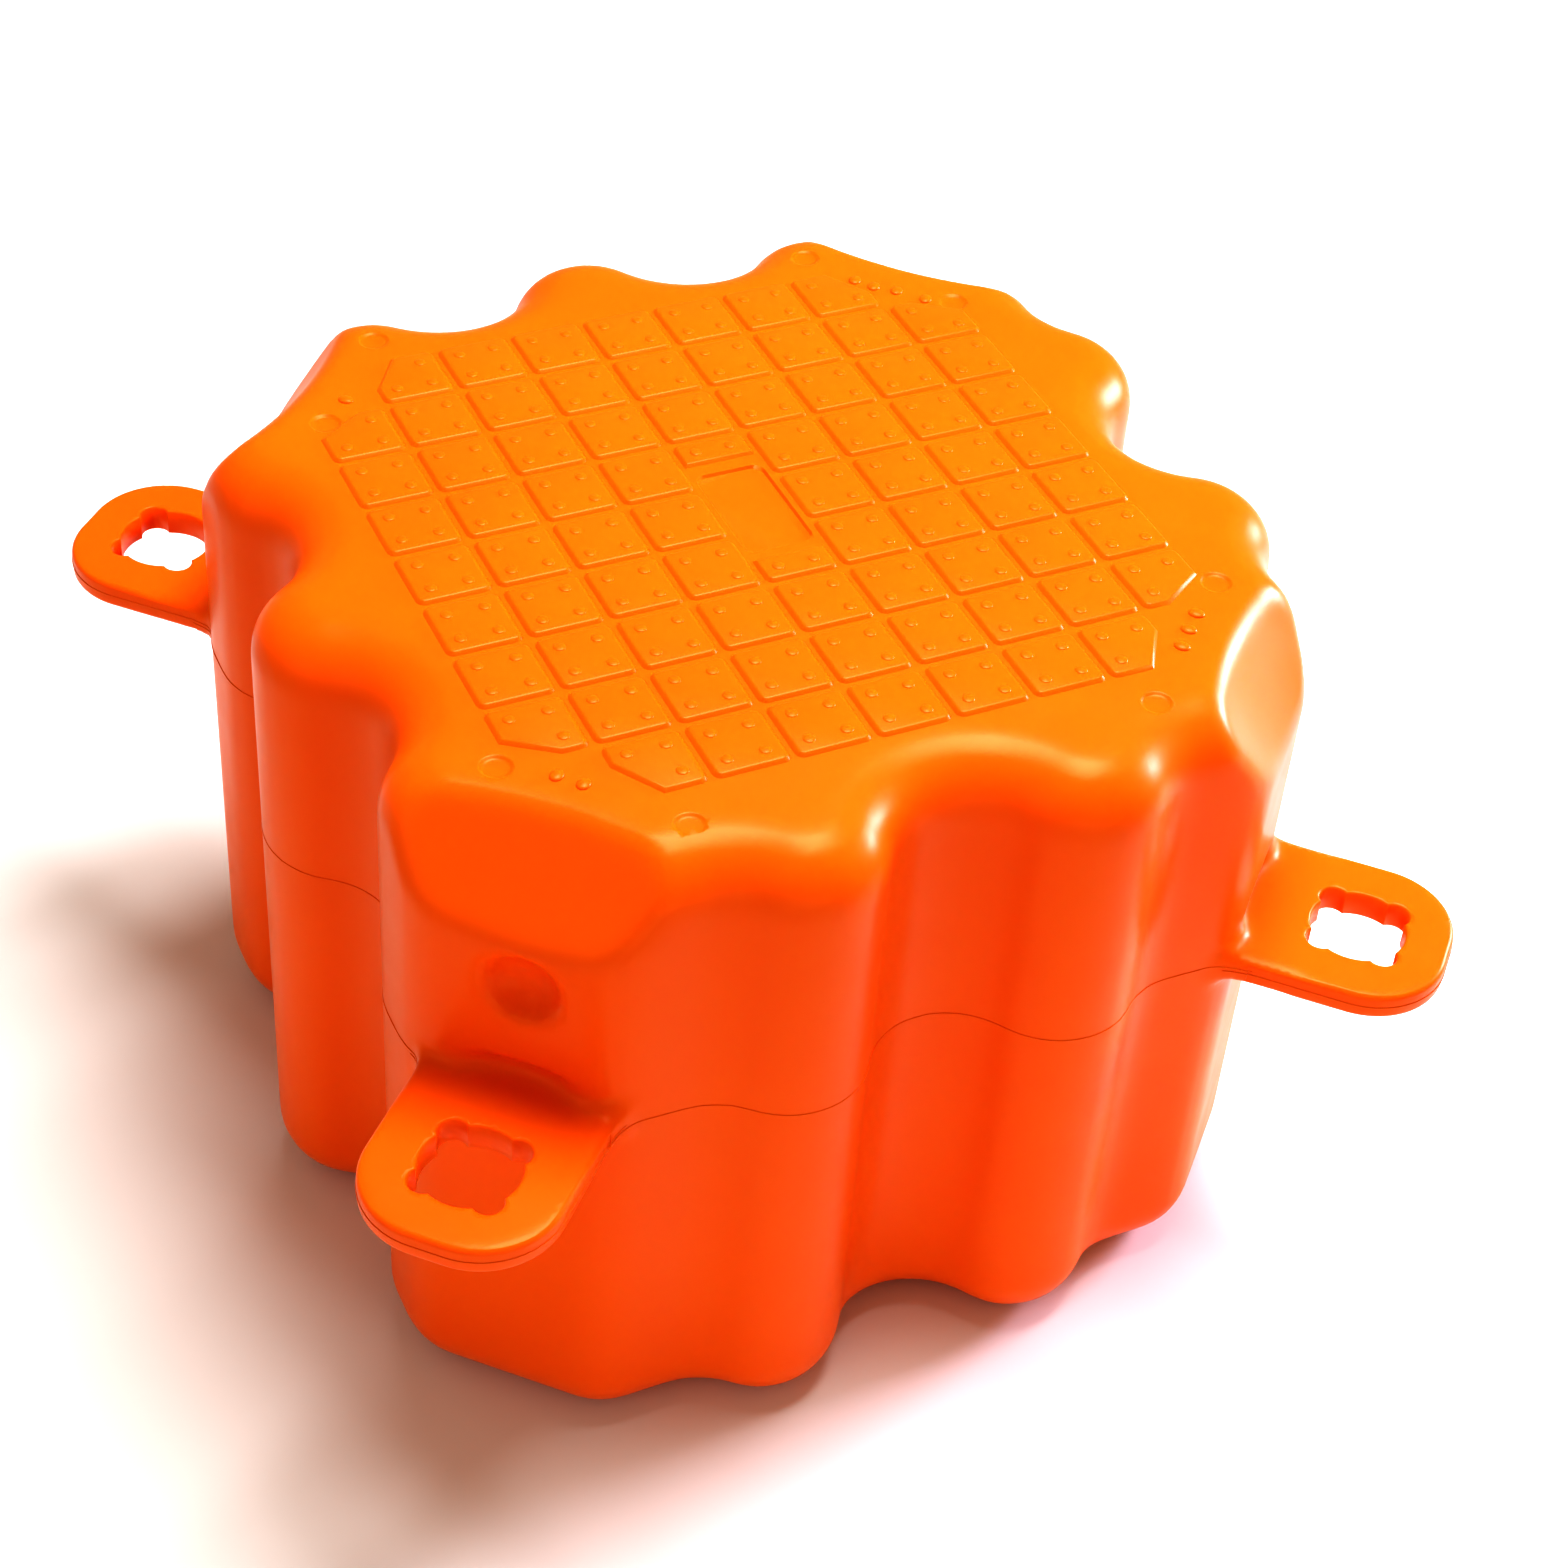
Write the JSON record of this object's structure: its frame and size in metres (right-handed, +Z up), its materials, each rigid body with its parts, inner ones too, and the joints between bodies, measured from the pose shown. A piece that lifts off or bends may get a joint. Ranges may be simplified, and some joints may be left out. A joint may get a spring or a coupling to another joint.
{
  "type": "floating dock cube",
  "caption": "Modular floating dock cube: closed orange plastic float with fluted nesting walls, tiled anti-slip deck, scooped corners and stepped corner lugs with keyed pin holes.",
  "frame": {"origin": "on the underside, at the centre of the four lug holes in plan", "axes": "+Z up through the deck; X and Y square to the sides, with the four lugs on the diagonals; the two-crest walls face -Y and +X"},
  "size_m": [0.6086, 0.6086, 0.4],
  "materials": {
    "float_plastic": "moulded polyethylene, semi-gloss, orange"
  },
  "bodies": {
    "root": {"float_body": "float_plastic"}
  },
  "joints": []
}
